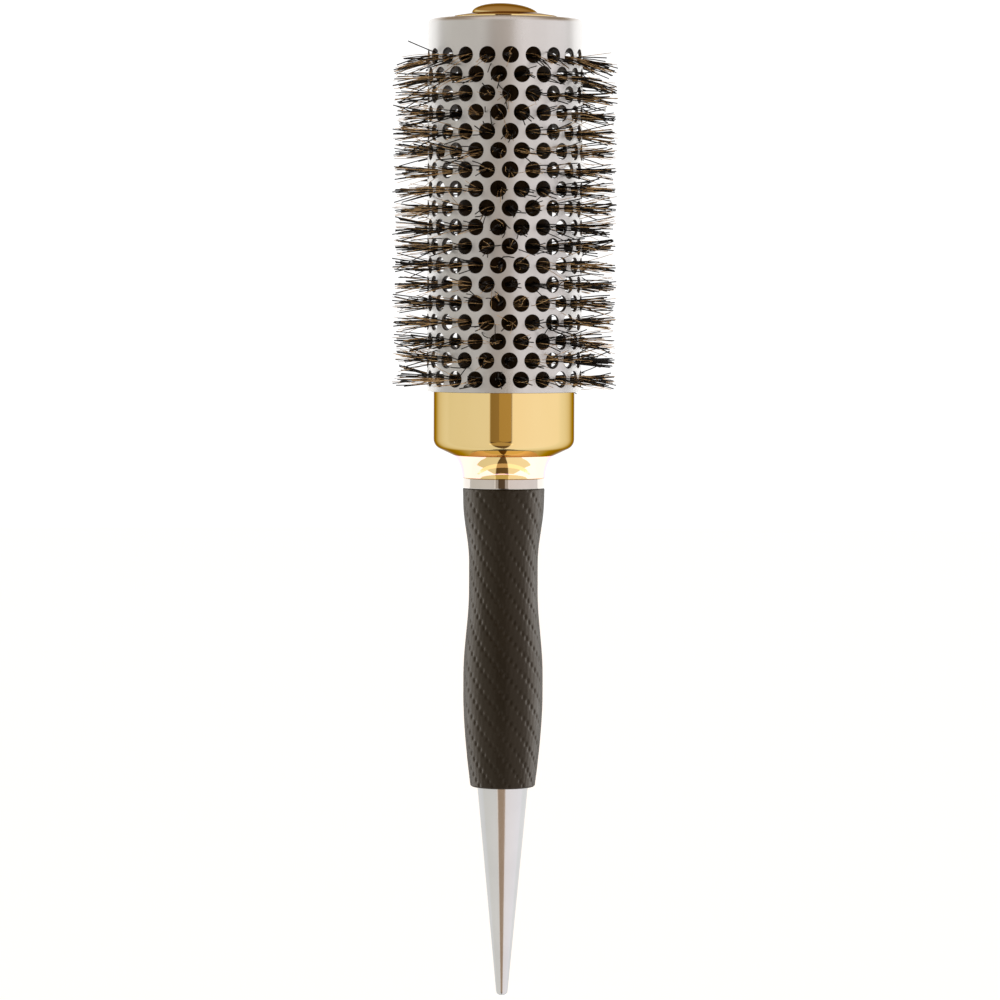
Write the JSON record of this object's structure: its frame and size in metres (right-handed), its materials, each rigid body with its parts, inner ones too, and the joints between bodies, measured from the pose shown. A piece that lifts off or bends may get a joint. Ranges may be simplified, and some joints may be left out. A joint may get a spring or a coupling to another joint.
{
  "type": "round barrel hairbrush",
  "caption": "Round vented barrel brush: perforated metal barrel with mixed bristle tufts, gold-coloured cap and ferrule, chrome collar, rubber-sleeved grip and tapered tail.",
  "frame": {"origin": "on the brush's axis, at the plane where the ferrule's lower end meets the collar ring", "axes": "+Z along the axis from the tail to the head, -Y towards the viewer's side, +X to the viewer's right"},
  "size_m": [0.0628, 0.0628, 0.2769],
  "materials": {
    "barrel_coating": "satin silver-grey ceramic coating on aluminium",
    "gold_trim": "bright gold-coloured anodising, polished",
    "adhesive_foam": "double-sided adhesive foam",
    "steel": "zinc-plated",
    "core_plastic": "dark brown moulded plastic",
    "chrome": "polished",
    "rod_aluminium": "turned",
    "grip_rubber": "matt dark brown-black with a fine embossed weave",
    "tail_metal": "satin-polished",
    "bristle_mix": "black nylon and brown natural bristle, mixed in each tuft"
  },
  "bodies": {
    "root": {"barrel_tube": "barrel_coating", "end_cap": "gold_trim", "cap_button": "gold_trim", "adhesive_pad": "adhesive_foam", "cap_screw": "steel", "cap_washer": "steel", "bristle_core": "core_plastic", "upper_strip_ring": "core_plastic", "lower_strip_ring": "core_plastic", "head_plug": "core_plastic", "ferrule": "gold_trim", "ferrule_neck": "gold_trim", "collar_ring": "chrome", "handle_rod": "rod_aluminium", "grip_sleeve": "grip_rubber", "tail_stud": "steel", "tail_cone": "tail_metal", "bristle_strip_1": "core_plastic", "bristle_strip_2": "core_plastic", "bristle_strip_3": "core_plastic", "bristle_strip_4": "core_plastic", "bristle_strip_5": "core_plastic", "bristle_strip_6": "core_plastic", "bristle_strip_7": "core_plastic", "bristle_strip_8": "core_plastic", "bristle_strip_9": "core_plastic", "bristle_strip_10": "core_plastic", "bristle_strip_11": "core_plastic", "bristle_strip_12": "core_plastic", "bristle_strip_13": "core_plastic", "bristle_strip_14": "core_plastic", "bristle_strip_15": "core_plastic", "bristle_strip_16": "core_plastic", "bristle_strip_17": "core_plastic", "bristle_strip_18": "core_plastic", "bristle_strip_19": "core_plastic", "bristle_strip_20": "core_plastic", "bristle_strip_21": "core_plastic", "tuft_row_1": "bristle_mix", "tuft_row_2": "bristle_mix", "tuft_row_3": "bristle_mix", "tuft_row_4": "bristle_mix", "tuft_row_5": "bristle_mix", "tuft_row_6": "bristle_mix", "tuft_row_7": "bristle_mix", "tuft_row_8": "bristle_mix", "tuft_row_9": "bristle_mix", "tuft_row_10": "bristle_mix", "tuft_row_11": "bristle_mix", "tuft_row_12": "bristle_mix", "tuft_row_13": "bristle_mix", "tuft_row_14": "bristle_mix", "tuft_row_15": "bristle_mix", "tuft_row_16": "bristle_mix", "tuft_row_17": "bristle_mix", "tuft_row_18": "bristle_mix", "tuft_row_19": "bristle_mix", "tuft_row_20": "bristle_mix", "tuft_row_21": "bristle_mix"}
  },
  "joints": []
}
